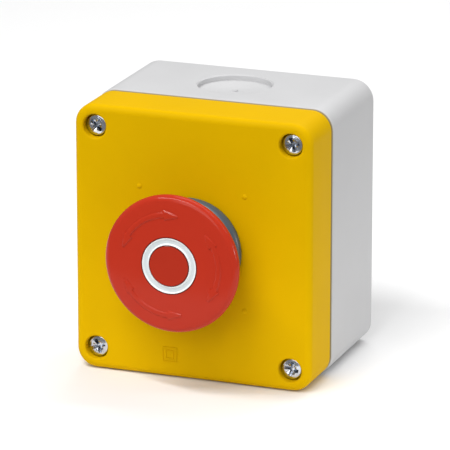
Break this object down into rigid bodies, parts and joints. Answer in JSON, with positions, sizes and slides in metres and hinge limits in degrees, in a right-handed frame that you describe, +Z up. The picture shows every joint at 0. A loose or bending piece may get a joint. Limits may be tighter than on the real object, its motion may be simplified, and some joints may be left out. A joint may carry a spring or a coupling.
{
  "type": "emergency stop control station",
  "caption": "Wall-mounted emergency stop station: plastic box with a screwed cover, a twist-release mushroom push button and contact blocks inside.",
  "frame": {"origin": "centre of the box's flat rear face, which goes against the wall", "axes": "+Y from the cover back into the wall, -Y out of the cover along the push button's axis, +Z up, +X to the right seen from the front"},
  "size_m": [0.0734, 0.0723, 0.0804],
  "materials": {
    "box_grey": "light grey moulded ABS, fine satin",
    "cover_yellow": "signal yellow moulded ABS, satin gloss",
    "head_red": "signal red moulded polyamide, gloss",
    "ring_white": "white moulded plastic, gloss",
    "collar_black": "black glass-filled polyamide, satin",
    "coupling_grey": "dark grey moulded polyamide",
    "natural_plastic": "natural acetal",
    "block_red": "red moulded polyamide",
    "block_green": "green moulded polyamide",
    "rubber": "black nitrile rubber",
    "zinc_steel": "bright zinc plated steel",
    "spring_steel": "drawn stainless spring wire",
    "contact_brass": "stamped brass with silver rivets"
  },
  "bodies": {
    "root": {"base_box": "box_grey", "cover": "cover_yellow", "cover_gasket": "rubber", "cover_screws": "zinc_steel", "screw_washers": "rubber", "panel_washer": "rubber", "actuator_body": "collar_black", "ring_nut": "zinc_steel", "stem_seal": "rubber", "trip_spring": "spring_steel", "twist_spring": "spring_steel", "latch_spring": "spring_steel", "coupling_plate": "coupling_grey", "coupling_screws": "zinc_steel", "nc_housing": "block_red", "nc_cap": "block_red", "nc_spring": "spring_steel", "nc_contacts": "contact_brass", "nc_clamps": "zinc_steel", "nc_terminal_screws": "zinc_steel", "no_housing": "block_green", "no_cap": "block_green", "no_spring": "spring_steel", "no_contact_spring": "spring_steel", "no_contacts": "contact_brass", "no_clamps": "zinc_steel", "no_terminal_screws": "zinc_steel"},
    "plunger": {"plunger": "natural_plastic", "hub_clip": "spring_steel"},
    "head": {"head_hub": "collar_black", "mushroom_head": "head_red", "head_ring": "ring_white", "head_cap": "head_red"},
    "latch_pin_left": {"latch_pin_left": "spring_steel"},
    "latch_pin_right": {"latch_pin_right": "spring_steel"},
    "nc_slider": {"nc_plunger": "natural_plastic", "nc_bridge": "contact_brass"},
    "no_slider": {"no_plunger": "natural_plastic"},
    "no_bridge": {"no_bridge": "contact_brass"}
  },
  "joints": [
    {"name": "head_press", "type": "slide", "parent": "root", "child": "plunger", "axis": [0, 1, 0], "range_m": [0, 0.004], "stiffness_N_per_m": 1500, "springref_m": -0.002, "deforming": ["trip_spring", "twist_spring"]},
    {"name": "head_twist", "type": "hinge", "parent": "plunger", "child": "head", "pos_m": [0, -0.067, 0], "axis": [0, 1, 0], "range_deg": [-40, 40], "stiffness_Nm_per_rad": 0.05},
    {"name": "latch_left", "type": "slide", "parent": "root", "child": "latch_pin_left", "axis": [1, 0, 0], "range_m": [0, 0.001]},
    {"name": "latch_right", "type": "slide", "parent": "root", "child": "latch_pin_right", "axis": [-1, 0, 0], "range_m": [0, 0.001]},
    {"name": "nc_press", "type": "slide", "parent": "root", "child": "nc_slider", "axis": [0, 1, 0], "range_m": [0, 0.004], "deforming": ["nc_spring"]},
    {"name": "no_press", "type": "slide", "parent": "root", "child": "no_slider", "axis": [0, 1, 0], "range_m": [0, 0.004], "deforming": ["no_spring"]},
    {"name": "no_close", "type": "slide", "parent": "root", "child": "no_bridge", "axis": [0, 1, 0], "range_m": [0, 0.0024], "deforming": ["no_contact_spring"]}
  ],
  "couplings": [
    {"joint": "latch_left", "follows": "head_press", "ratio": 0.25},
    {"joint": "latch_right", "follows": "head_press", "ratio": 0.25},
    {"joint": "nc_press", "follows": "head_press", "ratio": 1},
    {"joint": "no_press", "follows": "head_press", "ratio": 1},
    {"joint": "no_close", "follows": "head_press", "ratio": 0.6}
  ]
}
